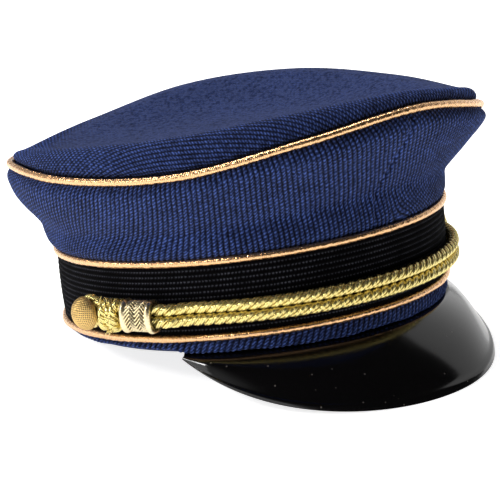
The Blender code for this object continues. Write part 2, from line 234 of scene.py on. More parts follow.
def station(angle):
    """The cap's rings at these angles: band foot, band top and rim, and their heights."""
    angle = np.asarray(angle, float)
    foot = oval(BAND_WIDE, BAND_LONG, 0, angle)
    flare = 2 * BAND_FLARE
    top = oval(BAND_WIDE + flare, BAND_LONG + flare, BAND_SET_FORWARD, angle)
    rim = oval(CROWN_WIDE, CROWN_LONG, CROWN_SET_FORWARD, angle)
    foot_z = between(HEM_FRONT, HEM_REAR, angle)
    top_z = foot_z + between(BAND_FRONT, BAND_REAR, angle)
    rim_z = top_z + SIDE_TALL * around(WALL_SHARES, angle)
    roll_z = rim_z + ROLL_TALL * around(ROLL_SHARES, angle)
    normal = outward(BAND_WIDE, BAND_LONG, angle)
    return Station(angle, foot, top, rim, normal, unit(rim - top), foot_z, top_z, rim_z, roll_z)


def at(base, direction, out, height):
    """Points out from base along a level direction, at a height."""
    points = base + direction * np.asarray(out)[..., None]
    points[..., 2] = height
    return points


# %% [markdown]
# ## From points to meshes
#
# Nearly every piece here is a skin over rings of points, so one builder serves them all. A
# patch is a grid of points, rings by columns, and each ring is closed. A patch's ends are
# either joined, which gives a hollow wall, or capped with a fan. Beside its points a patch
# carries its weave: where each point lies on the cloth, in ribs and stitches. The finishes
# read it from a UV map, so a rib of the mesh and a rib of the finish are the same rib.

# %% The mesh builder
Patch = namedtuple("Patch", "points weave turn ends")


def patch(points, weave=None, turn=(0.0, 0.0), ends="joined"):
    """turn is what the weave gains on the way once round a ring."""
    if weave is None:
        weave = np.zeros((*points.shape[:2], 2))
    return Patch(points, weave, np.asarray(turn, float), ends)


def woven(ribs, stitches):
    """The weave of a grid. Its ribs or its stitches may be the same in every row or column."""
    return np.stack(np.broadcast_arrays(ribs, stitches), -1)


def patch_faces(one):
    """A patch's corners as vertex numbers, and where each corner lies on the weave."""
    rows, columns = one.points.shape[:2]
    last = rows if one.ends == "joined" else rows - 1
    r, c = (x.ravel() for x in np.meshgrid(range(last), range(columns), indexing="ij"))
    corners = [(r, c), ((r + 1) % rows, c), ((r + 1) % rows, c + 1), (r, c + 1)]
    quads = np.stack([row * columns + column % columns for row, column in corners], 1)
    places = np.stack(
        [
            one.weave[row, column % columns] + one.turn * (column == columns)[:, None]
            for row, column in corners
        ],
        1,
    )
    return quads, places


def cap_faces(one):
    """Fans over a capped patch's first and last ring, and their two middle points."""
    rows, columns = one.points.shape[:2]
    c = np.arange(columns)
    fans, places, middles = [], [], []
    for number, (ring, flip) in enumerate(((0, False), (rows - 1, True))):
        middles.append(one.points[ring].mean(0))
        pair = ((c + 1) % columns, c) if flip else (c, (c + 1) % columns)
        centre = np.full(columns, rows * columns + number)
        fans.append(np.stack([ring * columns + pair[0], ring * columns + pair[1], centre], 1))
        weave = one.weave[ring]
        mean = np.broadcast_to(weave.mean(0), weave.shape)
        places.append(np.stack([weave[pair[0]], weave[pair[1]], mean], 1))
    return np.concatenate(fans), np.concatenate(places), np.array(middles)


def volume(points, faces):
    a, b, c = (points[faces[:, k]] for k in range(3))
    total = np.einsum("ij,ij->i", a, np.cross(b, c)).sum()
    if faces.shape[1] == 4:
        d = points[faces[:, 3]]
        total += np.einsum("ij,ij->i", a, np.cross(c, d)).sum()
    return total


# %% Pieces
def build(name, patches, material, stands_for=(), sharp=None, inward=None):
    """One piece of the cap from its patches, riding on the cap's only body.

    inward, if given, is a number for each point of a single patch, kept in a map of its own.
    """
    points, faces, places, first = [], [], [], 0
    for one in patches:
        own = one.points.reshape(-1, 3)
        parts = [patch_faces(one)]
        if one.ends == "capped":
            fans, fan_places, middles = cap_faces(one)
            own = np.concatenate([own, middles])
            parts.append((fans, fan_places))
        inside_out = sum(volume(own, corners) for corners, _ in parts) < 0
        for corners, weave in parts:
            if inside_out:
                corners, weave = corners[:, ::-1], weave[:, ::-1]
            faces += (corners + first).tolist()
            places.append(weave.reshape(-1, 2))
        points.append(own)
        first += len(own)
    mesh = bpy.data.meshes.new(name)
    mesh.from_pydata(in_world(np.concatenate(points)).tolist(), [], faces)
    layer = mesh.uv_layers.new(name="weave")
    layer.uv.foreach_set("vector", np.concatenate(places).astype(np.float32).ravel())
    if inward is not None:
        corner = np.empty(len(mesh.loops), np.int32)
        mesh.loops.foreach_get("vertex_index", corner)
        known = np.append(inward.ravel(), np.full(len(mesh.vertices) - inward.size, inward.max()))
        pairs = np.stack([known[corner], np.zeros(len(corner))], 1).astype(np.float32)
        mesh.uv_layers.new(name="inward").uv.foreach_set("vector", pairs.ravel())
    mesh.shade_smooth()
    if sharp:
        mesh.set_sharp_from_angle(angle=math.radians(sharp))
    mesh.materials.append(material)
    piece = placed(name, mesh)
    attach(piece, "root")
    if stands_for:
        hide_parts(*stands_for)
    count = sum(len(face) - 2 for face in faces)
    print(f"{name}: {count:,} triangles")


def normals(points):
    """The direction out of a wall at each point of its grid of closed rings."""
    along = np.roll(points, -1, 1) - np.roll(points, 1, 1)
    up = np.gradient(points, axis=0)
    return unit(np.cross(up, along))


# %% [markdown]
# ## Node helpers
#
# A finish is a small network of shader nodes, and these helpers keep the networks short to
# write. Each adds a node and feeds its inputs, with a number or with another node's output.

# %% Node helpers


def add(tree, kind, feeds=None, **settings):
    """A shader node with its settings made and its inputs fed."""
    made = tree.nodes.new("ShaderNode" + kind)
    for name, value in settings.items():
        setattr(made, name, value)
    for key, value in (feeds or {}).items():
        if isinstance(value, bpy.types.NodeSocket):
            tree.links.new(value, made.inputs[key])
        else:
            made.inputs[key].default_value = value
    return made


def sums(tree, operation, *values):
    """The result of a Math node."""
    return add(tree, "Math", dict(enumerate(values)), operation=operation).outputs[0]


def product(tree, *values):
    """All the values multiplied together."""
    result = values[0]
    for value in values[1:]:
        result = sums(tree, "MULTIPLY", result, value)
    return result


def scaled(tree, value, scale, start):
    """The value, scaled, on top of a start."""
    return sums(tree, "MULTIPLY_ADD", value, scale, start)


def ripple(tree, value, swing=0.5):
    """A wave between 0 and 1: highest at whole numbers, or lowest there if swing is -0.5."""
    return scaled(tree, sums(tree, "COSINE", product(tree, value, TAU)), swing, 0.5)


def spread(tree, value, low, high, least=0.0, most=1.0, **settings):
    """The value's stretch from low to high, spread over the one from least to most."""
    feeds = {"Value": value, "From Min": low, "From Max": high, "To Min": least, "To Max": most}
    return add(tree, "MapRange", feeds, **settings).outputs[0]


def noise(tree, place, scale, detail=2.0):
    """A cloudy value between 0 and 1, with about scale lumps to a millimetre."""
    return add(tree, "TexNoise", {"Vector": place, "Scale": scale, "Detail": detail}).outputs["Fac"]


def mixed(tree, share, one, other):
    """A colour between two, by a share."""
    return add(tree, "Mix", {0: share, 6: one, 7: other}, data_type="RGBA").outputs[2]


def split(tree, vector):
    return add(tree, "SeparateXYZ", {0: vector}).outputs


def map_place(tree, name="weave"):
    """Where a point lies on a map of the mesh. On the weave: ribs across, stitches along."""
    return add(tree, "UVMap", uv_map=name).outputs["UV"]


def object_place(tree):
    """A point's place on the cap in millimetres, the same from every side."""
    place = add(tree, "TexCoord").outputs["Object"]
    return add(tree, "VectorMath", {0: place, "Scale": 1 / MM}, operation="SCALE").outputs[0]


def new_group(name, inputs, outputs):
    """A node group, and its named inputs and outputs. Inputs come with their usual values."""
    tree = bpy.data.node_groups.new(name, "ShaderNodeTree")
    for socket, kind, value in inputs:
        made = tree.interface.new_socket(socket, in_out="INPUT", socket_type="NodeSocket" + kind)
        if value is not None:
            made.default_value = value
    for socket in outputs:
        tree.interface.new_socket(socket, in_out="OUTPUT", socket_type="NodeSocketFloat")
    given, put = tree.nodes.new("NodeGroupInput"), tree.nodes.new("NodeGroupOutput")
    return tree, given.outputs, put.inputs


def new_finish(name, **constants):
    """A material and its Principled shader. Constants go on the shader's own sockets."""
    material = bpy.data.materials.new(name)
    material.use_nodes = True
    shader = material.node_tree.nodes["Principled BSDF"]
    for key, value in constants.items():
        shader.inputs[key.replace("_", " ")].default_value = value
    return material, material.node_tree, shader


def dress(tree, shader, colour, roughness=None, height=None, deep=0.0):
    """Feeds a shader its colour, its roughness and a bump of some millimetres."""
    tree.links.new(colour, shader.inputs["Base Color"])
    if roughness is not None:
        tree.links.new(roughness, shader.inputs["Roughness"])
    if height is not None:
        bump = add(tree, "Bump", {"Height": height, "Distance": deep * MM})
        tree.links.new(bump.outputs[0], shader.inputs["Normal"])


# %% [markdown]
# ## Shared effects
#
# Two effects come back in several finishes. "Ribbed weave" draws ribs and the slanted
# strokes of thread on them. Both twills use it, and where their nap is raised it fades to
# its own mean. "Uneven" is a slow cloudy value that keeps any large surface from looking
# flat.

# %% Shared node groups
RIB_MEAN, STROKE_MEAN = 0.64, 0.24


def make_ribbed_weave():
    tree, given, put = new_group(
        "ribbed weave",
        [
            ("Weave", "Vector", None),
            ("Slant", "Float", 0.95),
            ("Jitter", "Float", 0.3),
            ("Fineness", "Float", 2.5),
            ("Place", "Vector", None),
            ("Nap", "Float", 0.0),
        ],
        ["Stroke", "Rib", "Height"],
    )
    shake = add(tree, "TexNoise", {"Vector": given["Place"], "Scale": given["Fineness"]})
    shakes = split(tree, shake.outputs["Color"])
    places = split(tree, given["Weave"])
    across, along = (
        scaled(tree, sums(tree, "SUBTRACT", shakes[axis], 0.5), given["Jitter"], places[axis])
        for axis in ("X", "Y")
    )
    part = sums(tree, "FRACT", across)
    swing = sums(tree, "SINE", product(tree, part, math.pi))
    lagging = scaled(tree, sums(tree, "FLOOR", across), 0.45, along)
    wave = ripple(tree, scaled(tree, part, given["Slant"], lagging))
    clear = sums(tree, "SUBTRACT", 1.0, given["Nap"])

    def softened(value, mean):
        return scaled(tree, sums(tree, "SUBTRACT", value, mean), clear, mean)

    # Rib is 0 in the grooves and 1 on the ribs; the twill paints its shade between the ribs with it.
    rib = softened(sums(tree, "POWER", swing, 1.1), RIB_MEAN)
    sharp = scaled(tree, sums(tree, "POWER", wave, 2.0), 0.87, 0.13)
    # Stroke is brightest on the crown of each slanted stroke; the twill paints its highlight with it.
    stroke = softened(product(tree, sharp, sums(tree, "POWER", swing, 1.8)), STROKE_MEAN)
    tree.links.new(stroke, put["Stroke"])
    tree.links.new(rib, put["Rib"])
    tree.links.new(scaled(tree, stroke, 0.6, product(tree, rib, 0.4)), put["Height"])
    return tree


def make_uneven():
    inputs = [("Place", "Vector", None), ("Scale", "Float", 0.2)]
    tree, given, put = new_group("uneven", inputs, ["Value"])
    cloud = noise(tree, given["Place"], given["Scale"], 3.0)
    tree.links.new(spread(tree, cloud, 0.3, 0.7), put["Value"])
    return tree


def unevenness(tree, place, scale):
    return add(tree, "Group", {"Place": place, "Scale": scale}, node_tree=uneven).outputs[0]


ribbed_weave, uneven = make_ribbed_weave(), make_uneven()
print("groups:", ribbed_weave.name, "and", uneven.name)

# %% [markdown]
# ## Blue twill
#
# Wool twill in navy. The strokes of thread carry a painted highlight in a much brighter blue,
# and between the ribs a painted shade makes it nearly black. A little sheen gives the fuzz at
# grazing angles, and the worn twill of the crown's top has a raised nap with a painted sheen
# of paler grey-blue.

# %% Blue twill
# Painted shade: the near-black colour put between the ribs, where they shade each other.
NAVY_GAP_SHADE = (0.0004, 0.0006, 0.0022, 1)
NAVY_THREAD = (0.0040, 0.0070, 0.027, 1)
# Painted highlight: the bright blue the strokes of thread get where they catch the light.
NAVY_STROKE_HIGHLIGHT = (0.072, 0.130, 0.44, 1)
# The raised nap's paler grey-blue: a painted sheen of its fuzz, as seen at grazing angles.
NAVY_NAP_SHEEN = (0.036, 0.050, 0.128, 1)


def make_twill(name, worn):
    """worn is how much of the surface the raised nap has blurred and given its painted sheen, at most.
    """
    material, tree, shader = new_finish(
        name,
        Roughness=0.9,
        Sheen_Weight=0.07,
        Sheen_Roughness=0.4,
        Sheen_Tint=(0.7, 0.7, 0.8, 1),
        Specular_IOR_Level=0.12,
    )
    place = object_place(tree)
    cloud = unevenness(tree, place, 0.35)
    fuzz = spread(tree, noise(tree, place, 2.8, 3.0), 0.36, 0.64)
    fibre = spread(tree, noise(tree, place, 6.5), 0.36, 0.64)
    nap = product(tree, cloud, 0.14)
    if worn:
        inward = split(tree, map_place(tree, "inward"))["X"]
        nap = sums(tree, "MAXIMUM", nap, product(tree, inward, worn))
    feeds = {"Weave": map_place(tree), "Place": place, "Nap": nap}
    weave = add(tree, "Group", feeds, node_tree=ribbed_weave).outputs
    # Painted highlight on the strokes of thread, varied by the cloudy tone, the fuzz and the fibres.
    bright = product(
        tree,
        weave["Stroke"],
        scaled(tree, cloud, 0.35, 0.72),
        scaled(tree, fuzz, 0.8, 0.6),
        scaled(tree, fibre, 1.1, 0.4),
    )
    # Painted shade between the ribs: near black in the grooves, the thread's own navy on the ribs.
    body = mixed(tree, weave["Rib"], NAVY_GAP_SHADE, NAVY_THREAD)
    colour = mixed(tree, bright, body, NAVY_STROKE_HIGHLIGHT)
    # Where the nap is raised, a painted sheen: the colour goes over to a paler grey-blue.
    colour = mixed(tree, product(tree, nap, fuzz, 0.9), colour, NAVY_NAP_SHEEN)
    dress(tree, shader, colour, height=scaled(tree, fuzz, 0.5, weave["Height"]), deep=0.08)
    return material


blue_twill, worn_twill = make_twill("blue twill", 0.0), make_twill("worn blue twill", 0.85)

# %% [markdown]
# ## Black braid
#
# The band is a flat braid of parallel cords, sewn side by side. The rows of stitches between
# the cords show as fine grey dashes.

# %% Black braid
BRAID_BLACK = (0.0011, 0.0011, 0.0014, 1)
BRAID_DASH = (0.125, 0.125, 0.155, 1)


def make_braid():
    material, tree, shader = new_finish(
        "black braid", Roughness=0.9, Specular_IOR_Level=0.03
    )
    stitches, cords, _ = split(tree, map_place(tree))
    swing = sums(tree, "SINE", product(tree, sums(tree, "FRACT", cords), math.pi))
    groove = sums(tree, "SUBTRACT", 1.0, sums(tree, "POWER", swing, 0.5))
    place = object_place(tree)
    along = scaled(tree, sums(tree, "ROUND", cords), 0.37, stitches)
    dash = ripple(tree, scaled(tree, noise(tree, place, 1.5), 1.2, along))
    seen = product(
        tree,
        sums(tree, "POWER", dash, 1.2),
        sums(tree, "POWER", groove, 1.7),
        scaled(tree, unevenness(tree, place, 0.5), 0.9, 0.35),
    )
    colour = mixed(tree, seen, BRAID_BLACK, BRAID_DASH)
    dress(tree, shader, colour, height=scaled(tree, dash, 0.3, swing), deep=0.04)
    return material


black_braid = make_braid()

# %% [markdown]
# ## Metal threads
#
# The pipings and the chin cord are both spun round with metal thread. They differ in colour
# and in the size of the threads, so one function makes both finishes. It draws the thread's
# own grooves as bump and as painted shade, painted shade in the hollows of the crinkled
# thread, specks where the dark core shows and, on the cord, painted shade in the valleys
# between its plies.

# %% Metal threads


def make_metal_thread(name, light, dark, metallic, rough, slant, groove, crinkled, specks, hollow_shade, laid):
    """slant is how many threads a line round the cord crosses, groove how deep they are in
    millimetres, crinkled how much rougher than that the thread lies, specks how much of the
    dark core shows, hollow_shade how bright the painted shade leaves the hollows of the crinkled
    thread, and laid the threads round one ply, or 0 for a cord of no plies."""
    material, tree, shader = new_finish(name, Metallic=metallic, Roughness=rough)
    around_cord, along_cord, _ = split(tree, map_place(tree))
    thread = ripple(tree, scaled(tree, around_cord, slant, along_cord), -0.5)
    place = object_place(tree)
    speck = noise(tree, place, 3.2, 1.5)
    crinkle = noise(tree, place, 5.5, 1.0)
    bright = product(
        tree,
        # Painted shade in the grooves between the wrapped threads, where the bump sinks.
        scaled(tree, thread, 0.4, 0.6),
        spread(tree, speck, specks, specks + 0.12),
        # Painted shade in the hollows of the crinkle bump, down to the brightness given for them.
        spread(tree, crinkle, 0.35, 0.6, least=hollow_shade),
    )
    if laid:
        # Painted shade in the valleys between the plies: each ply is darker on its side towards the
        # others.
        outmost = sums(tree, "COSINE", product(tree, around_cord, TAU / laid))
        bright = product(tree, bright, spread(tree, outmost, -0.75, 0.30))
    roughness = scaled(tree, speck, 0.2, rough - 0.1)
    height = scaled(tree, crinkle, crinkled, thread)
    # The dark colour is the thread's dark core in the specks and painted shade everywhere else.
    dress(tree, shader, mixed(tree, bright, dark, light), roughness, height, groove)
    return material


gold_piping = make_metal_thread(
    "gold piping",
    light=(0.98, 0.60, 0.31, 1),
    dark=(0.34, 0.14, 0.04, 1),
    metallic=0.95,
    rough=0.23,
    slant=2.0,
    groove=0.014,
    crinkled=3.5,
    specks=0.12,
    hollow_shade=0.8,
    laid=0,
)
gold_cord = make_metal_thread(
    "gold cord",
    light=(1.0, 0.85, 0.32, 1),
    dark=(0.24, 0.11, 0.01, 1),
    metallic=0.8,
    rough=0.2,
    slant=1.0,
    groove=0.012,
    crinkled=1.0,
    specks=0.05,
    hollow_shade=0.95,
    laid=6,
)

# %% [markdown]
# ## Gilt
#
# Pressed metal, pale on the raised parts and dark in the hollows. The relief is in the mesh,
# so the colour can follow how hollow the place is. The weave map carries that as its second
# number.

# %% Gilt
GILT_DARK = (0.10, 0.08, 0.05, 1)


def make_gilt(name, light, rough):
    material, tree, shader = new_finish(name, Metallic=1.0, Roughness=rough)
    relief = split(tree, map_place(tree))["Y"]
    grain = noise(tree, object_place(tree), 9.0, 3.0)
    # Darker the more sunk the place is, with a fine grain.
    raised_share = scaled(tree, grain, 0.5, sums(tree, "SUBTRACT", relief, 0.38))
    raised_share = spread(tree, raised_share, 0.1, 0.55)
    roughness = scaled(tree, grain, 0.2, rough - 0.1)
    dress(tree, shader, mixed(tree, raised_share, GILT_DARK, light), roughness, grain, 0.01)
    return material


slider_gilt = make_gilt("slider gilt", (0.88, 0.74, 0.46, 1), 0.28)
button_gilt = make_gilt("button gilt", (0.86, 0.57, 0.20, 1), 0.34)

# %% [markdown]
# ## Black lacquer
#
# The peak is lacquered card: black, with a clear hard gloss and a few specks of dust.

# %% Black lacquer
LACQUER_BLACK = (0.0022, 0.0020, 0.0023, 1)
DUST = (0.10, 0.09, 0.08, 1)


def make_lacquer():
    material, tree, shader = new_finish("black lacquer", Roughness=0.14, Specular_IOR_Level=0.45)
    place = object_place(tree)
    dust = add(tree, "TexVoronoi", {"Vector": place, "Scale": 0.9}).outputs["Distance"]
    dust = spread(tree, dust, 0.09, 0.03)
    roughness = scaled(tree, unevenness(tree, place, 0.4), 0.05, 0.11)
    roughness = scaled(tree, dust, 0.3, roughness)
    dress(tree, shader, mixed(tree, dust, LACQUER_BLACK, DUST), roughness)
    return material


black_lacquer = make_lacquer()

# %% [markdown]
# ## The side of the crown
#
# A wall of twill from the band's piping up to the rim's. Its ribs are modelled, five columns
# of points to a rib. The cloth was pulled round the band as it was sewn, so the ribs lean
# away from the seam at the front, and tables say how far at each place and height. The seam
# is a groove between two ribs, with a small pucker at its foot.

# %% The side wall's shape
RIBS = 262
COLUMNS_PER_RIB = 5
RIB_DEEP = 0.09
STITCH = 0.31                       # from stroke to stroke along a rib
SIDE_KNOTS = (0.0, 0.09, 0.20, 0.32, 0.42, 0.52, 0.64, 0.76, 0.87, 1.0)
SIDE_FRONT = (0.0, 0.03, 0.03, 0.05, 0.23, 0.43, 0.66, 0.91, 1.08, 1.0)
SIDE_REAR = (0.0, 0.20, 0.31, 0.40, 0.58, 0.79, 0.99, 1.08, 1.12, 1.0)
TUCK = 0.45                         # how far the cloth turns in under a piping
HIDDEN = 0.22                       # how much of it the piping covers

# The cloth is stretched where the wall leans out: by how much, at shares of the wall's height.
STRETCH_AT = (0.0, 0.20, 0.32, 0.42, 0.65, 0.85, 0.95, 1.0)
STRETCH = (1.0, 0.95, 1.20, 1.40, 1.40, 1.20, 1.0, 1.0)

# How far the ribs lean half way up, every 30 degrees: degrees round the cap per wall's height.
# The cloth was pulled round the band as it was sewn, so they lean outwards from the seam.
RIB_LEAN = (17.0, 8.5, -4.0, -20.0, -22.0, -10.0, 0.0, 8.0, 14.0, 20.0, 25.0, 27.0)

# The share of that lean at each height, on the right side, at the front, and left of the seam.
LEAN_RISE = (0.0, 0.15, 0.28, 0.42, 0.60, 0.80, 1.0)
LEAN_SIDE = (0.7, 0.85, 1.0, 1.0, 0.9, 0.6, 0.45)
LEAN_FRONT = (0.4, 0.25, 0.4, 0.95, 1.0, 0.95, 0.6)
LEAN_LEFT = (1.7, 1.6, 0.5, 0.9, 1.0, 0.7, 0.2)


def side_surface(angle, rise):
    """The wall's outer face without its ribs, at shares of the way from piping to piping."""
    spot = station(angle)
    overhang = np.linalg.norm(spot.rim - spot.top, axis=-1)
    low, high = spot.top_z + HIDDEN, spot.rim_z - HIDDEN
    height = low + rise * (high - low)
    share = (height - spot.top_z) / (spot.rim_z - spot.top_z)
    front = between(1.0, 0.0, angle)
    leant = through(SIDE_KNOTS, SIDE_FRONT, share) * front
    leant = leant + through(SIDE_KNOTS, SIDE_REAR, share) * (1 - front)
    tuck = np.exp(-(height - low) / 0.3) + np.exp(-(high - height) / 0.3)
    return at(spot.top, spot.lean, leant * overhang - TUCK * tuck, height)


def rib_number(angle, rise):
    """Which rib each point is on: whole numbers in the grooves. The leans add up row by row."""
    side, front, left = (
        through(LEAN_RISE, shares, rise) for shares in (LEAN_SIDE, LEAN_FRONT, LEAN_LEFT)
    )
    turned = (angle + 180) % 360 - 180
    at_front = ease((60 - turned) / 40) * ease((turned + 10) / 10)
    at_left = ease(-turned / 10) * ease((turned + 70) / 30)
    share = side * (1 - at_front - at_left) + front * at_front + left * at_left
    lean = around(RIB_LEAN, angle) * share
    steps = np.diff(rise, axis=0) * (lean[1:] + lean[:-1]) / 2
    gone = np.concatenate([np.zeros_like(lean[:1]), np.cumsum(steps, 0)])
    return RIBS * (angle - gone + gone[len(gone) // 2]) / 360


def rib_height(number):
    """0 between two ribs and 1 on top of one."""
    return np.abs(np.sin(math.pi * number)) ** 0.8


def lengths_up(points):
    """How far each ring of a grid is from the first, along the surface."""
    steps = np.linalg.norm(np.diff(points, axis=0), axis=-1)
    return np.concatenate([np.zeros((1, steps.shape[1])), np.cumsum(steps, 0)])


# %% Make the side of the crown
SIDE_ROWS = 46
SEAM_TOP, SEAM_FOOT = 1.5, 5.5      # where the front seam meets the rim and the band
SEAM_WIDE, SEAM_DEEP = 0.6, 0.16
PUCKER_DEEP, PUCKER_WIDE, PUCKER_AT, PUCKER_TALL = 0.10, 4.0, 0.22, 0.12
LINING_SHARES = (1.0, 0.8, 0.55, 0.35, 0.15, 0.0)


def make_side():
    angle = once_round(RIBS * COLUMNS_PER_RIB)[None, :]
    rise = np.linspace(0, 1, SIDE_ROWS)[:, None]
    plain = side_surface(angle, rise)
    number = rib_number(angle, rise)
    from_seam = (angle + 180) % 360 - 180 - SEAM_TOP - (SEAM_FOOT - SEAM_TOP) * (1 - rise)
    groove = hump(from_seam, 0, SEAM_WIDE)
    pucker = hump(from_seam, 0, PUCKER_WIDE) * hump(rise, PUCKER_AT, PUCKER_TALL)
    pucker *= np.sin(from_seam * 1.1)
    raised = rib_height(number) * RIB_DEEP - groove * SEAM_DEEP + pucker * PUCKER_DEEP
    outside = plain + normals(plain) * raised[..., None]
    spot = station(angle[0])
    inside = []
    for share in LINING_SHARES:
        ring = side_surface(angle, np.array([[share]]))[0]
        inside.append(ring - spot.lean * (WALL * 0.9))
    points = np.concatenate([outside, np.array(inside)])
    steps = np.diff(lengths_up(points), axis=0)
    middles = (rise[1:] + rise[:-1]) / 2
    steps[: len(middles)] /= through(STRETCH_AT, STRETCH, middles)
    stitches = np.concatenate([np.zeros_like(angle), np.cumsum(steps, 0)]) / STITCH
    numbers = np.concatenate([number, np.repeat(number[-1:], len(inside), 0)])
    weave = np.stack([numbers, stitches], -1)
    walls = [patch(points, weave, turn=(RIBS, 0))]
    build("crown_side_cloth", walls, blue_twill, ["crown_side"])


make_side()

# %% [markdown]
# ## The top of the crown
#
# One round of the same twill, rolled down over the wire of the rim. Its ribs run straight
# across the cap, so they meet the rim at every angle. They are modelled on the roll, where
# they are seen from near by. Towards the middle they fade under a raised nap, which the finish
# draws with a painted sheen: a second map tells it how thick the nap is at each point.

# %% The top's shape
TOP_COLUMNS = 1440
ROLL_ROWS, DISH_ROWS = 13, 37
DISH_GROWTH = 1.06                  # from one step between the dish's rings to the next
DISH_REACH = 0.985                  # how far towards the middle the last ring lies
DISH_OUT = (0.0, 0.22, 0.50, 0.70, 0.82, 0.90, 0.955, 1.0)
DISH_HEIGHT = (0.0, 0.0, 0.06, 0.22, 0.50, 0.78, 0.96, 1.0)
TOP_GRAIN = 62.0                    # the direction of the ribs, in degrees
RIBS_WANDER = 0.25
RIB_PITCH = 0.34
RIBS_FADE = 5.0                     # how far in from the rim the modelled ribs reach
NAP_FROM, NAP_FULL = 2.2, 7.5       # how far in from the seam the nap starts and is thickest
LEAST_WORN = 60                     # the angle of the stretch of rim with the least nap
WORN_MOST = 0.72                    # how much nearer to the seam it all comes, straight across


def roll_ring(spot, turn):
    """A ring of the roll, from its seam at 0 degrees to its top at 90."""
    foot = spot.rim_z + HIDDEN
    tall = spot.roll_z - foot
    across = max(0.0, math.cos(math.radians(turn))) ** ROLL_FULL
    out = -ROLL_WIDE + ROLL_WIDE * 0.85 * across
    height = foot + tall * math.sin(math.radians(turn)) ** ROLL_FULL
    tuck = TUCK * np.exp(-(height - foot) / 0.25)
    return at(spot.rim, spot.lean, out - tuck, height)


def dish_ring(spot, ridge, mean, out):
    front = np.cos(np.radians(spot.angle))
    floor = mean + DISH_SLOPE * out * front
    floor_at_rim = mean + DISH_SLOPE * front
    middle = np.array([0, -CROWN_SET_FORWARD, 0])
    place = middle + (ridge - middle) * out
    place[..., 2] = floor + (ridge[..., 2] - floor_at_rim) * through(DISH_OUT, DISH_HEIGHT, out)
    return place


def top_rings(angle):
    """Rings from the seam over the roll to the middle."""
    spot = station(angle)
    rings = [roll_ring(spot, turn) for turn in np.linspace(0, 90, ROLL_ROWS)]
    ridge = rings[-1]
    mean = spot.roll_z.mean() - DISH_DEEP
    inward = DISH_GROWTH ** np.arange(1, DISH_ROWS + 1) - 1
    shares = 1 - inward / inward[-1] * DISH_REACH
    rings += [dish_ring(spot, ridge, mean, out) for out in shares]
    return np.array(rings)


# %% Make the top of the crown
def make_top():
    angle = once_round(TOP_COLUMNS)
    plain = top_rings(angle)
    from_seam = lengths_up(plain)
    spokes = plain[-1] - plain[-1].mean(0)
    radius = from_seam[-1:] - from_seam + np.linalg.norm(spokes, axis=-1)
    across = unit(spokes)
    flat = across[None, :, :2] * radius[..., None]
    flat = flat + RIBS_WANDER * np.sin(flat[..., ::-1] * 0.35 + np.array([0.4, 1.7]))
    grain = math.radians(TOP_GRAIN)
    number = (flat[..., 0] * math.sin(grain) + flat[..., 1] * math.cos(grain)) / RIB_PITCH
    stitch = (flat[..., 0] * math.cos(grain) - flat[..., 1] * math.sin(grain)) / STITCH
    worn = WORN_MOST * (0.5 - 0.5 * np.cos(np.radians(angle - LEAST_WORN)))
    fade = ease(1.2 - from_seam / (RIBS_FADE * (1 - worn)))
    outward_up = -normals(plain)
    outward_up *= np.sign(outward_up[ROLL_ROWS, 0, 2])
    raised = rib_height(number) * RIB_DEEP * fade
    outside = plain + outward_up * raised[..., None]
    spot = station(angle)
    under = []
    for row in (-1, -12, -22, ROLL_ROWS - 1):
        under.append(plain[row] - np.array([0, 0, WALL]))
    under.append(at(spot.rim, spot.lean, np.full_like(angle, -REBATE - WALL), spot.rim_z + HIDDEN))
    points = np.concatenate([outside[::-1], np.array(under[::-1])])
    weave = np.stack([number, stitch], -1)[::-1]
    hidden = np.zeros((len(under), TOP_COLUMNS, 2)) + weave[-1:]
    weave = np.concatenate([weave, hidden])
    skin = [patch(points, weave, ends="capped")]
    inward = ease((from_seam / (1 - worn) - NAP_FROM) / (NAP_FULL - NAP_FROM))[::-1]
    inward = np.concatenate([inward, np.zeros((len(under), TOP_COLUMNS))])
    build(
        "crown_top_cloth", skin, worn_twill, ["crown_top"], inward=inward
    )


make_top()

# %% [markdown]
# ## The hem
#
# A narrow fold of twill under the band, tallest at the front over the peak. The ribs lean,
# because the strip is cut on the bias to go round the curve. The fold's edge isn't quite
# even: it is drawn up in slow waves, and in one step by the slider.

# %% Make the hem
HEM_RIBS = 200
HEM_RIB_DEEP = 0.13
HEM_LEAN = 1.2                      # ribs that the strip leans by over its height
HEM_ROUND = 0.3
HEM_WAVES, HEM_STEP = 0.8, 0.22


def hem_edge(angle):
    """How far the folded edge is drawn up, in slow waves and in one step by the slider."""
    turn = np.radians(angle)
    waves = 0.05 * np.sin(9 * turn + 1) + 0.04 * np.sin(17 * turn) + 0.03 * np.sin(31 * turn + 2)
    step = ease((angle - 66) / 5) * ease((160 - angle) / 50)
    return np.clip(0.1 + waves, 0, None) * HEM_WAVES + step * HEM_STEP


